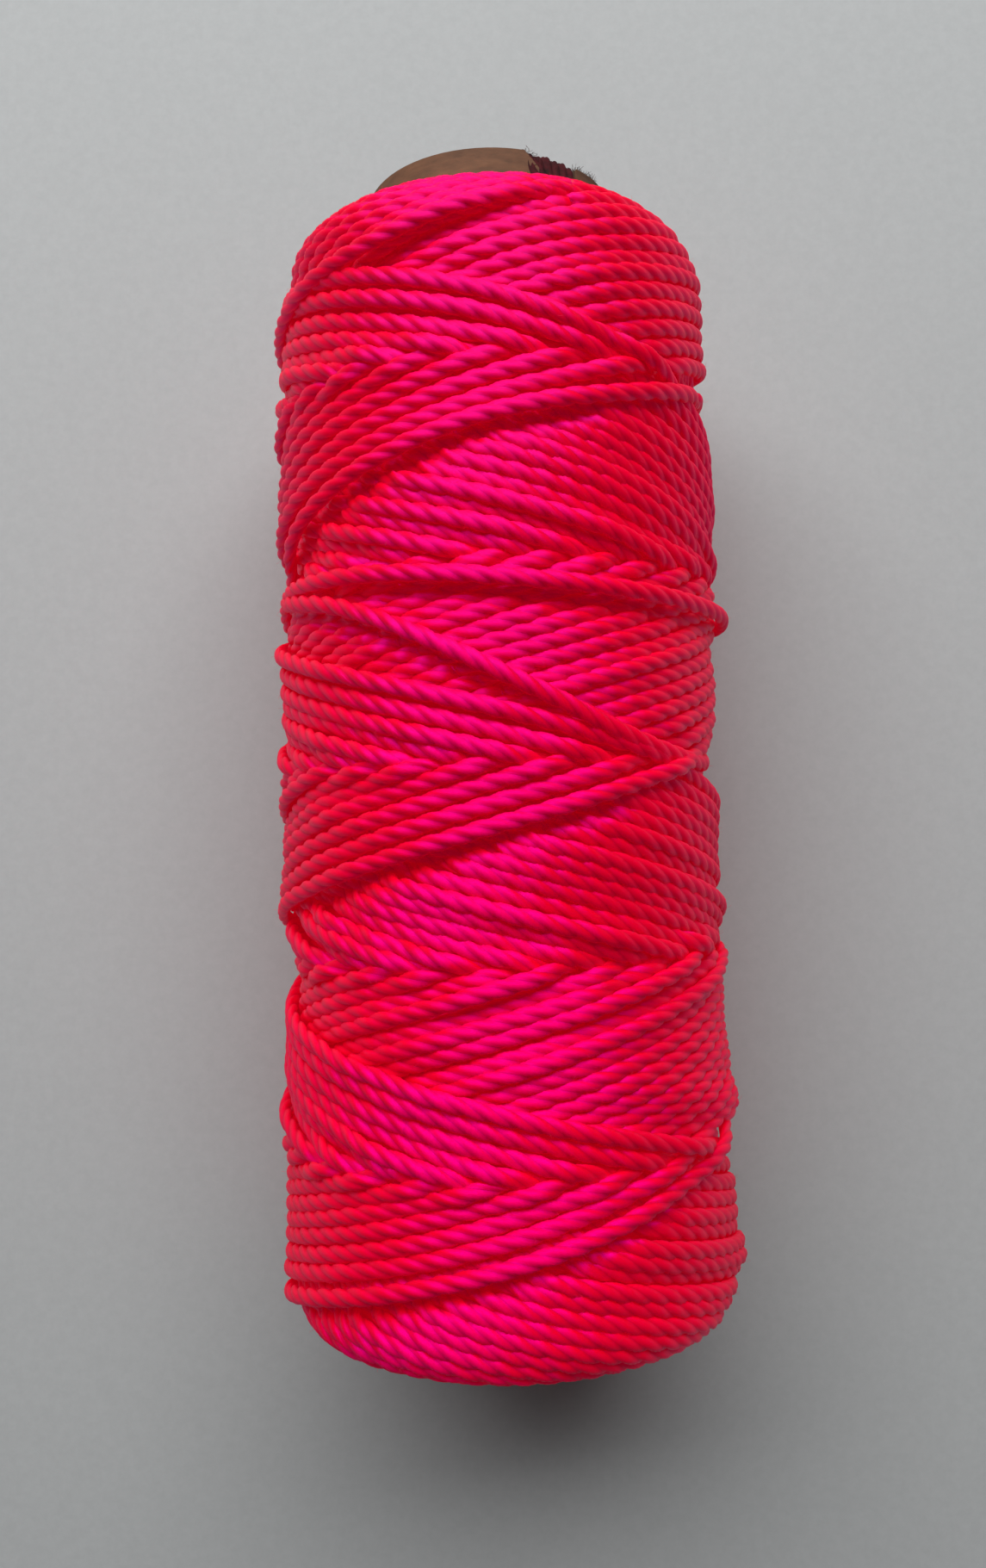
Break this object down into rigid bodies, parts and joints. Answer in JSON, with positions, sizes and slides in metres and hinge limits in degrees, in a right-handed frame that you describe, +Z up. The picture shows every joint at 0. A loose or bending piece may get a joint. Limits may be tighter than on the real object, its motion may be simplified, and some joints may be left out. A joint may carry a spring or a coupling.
{
  "type": "fishing twine spool",
  "caption": "Laid twine cross-wound on a plain paper tube, with a torn notch in one rim that holds the twine's end.",
  "frame": {"origin": "on the axis of the tube, at its mid-length", "axes": "+Y along the tube's axis, towards the notched rim; +Z up with the spool lying on its side, on its winding"},
  "size_m": [0.0549, 0.1352, 0.0544],
  "materials": {
    "kraft_liner": "matte",
    "kraft_body": "matte",
    "kraft_surface": "matte",
    "twine": "satin"
  },
  "bodies": {
    "root": {"tube_liner_ply": "kraft_liner", "tube_body_ply_1": "kraft_body", "tube_body_ply_2": "kraft_body", "tube_body_ply_3": "kraft_body", "tube_surface_ply": "kraft_surface", "twine_end": "twine", "twine_inner_winding": "twine", "twine_outer_winding": "twine"}
  },
  "joints": []
}
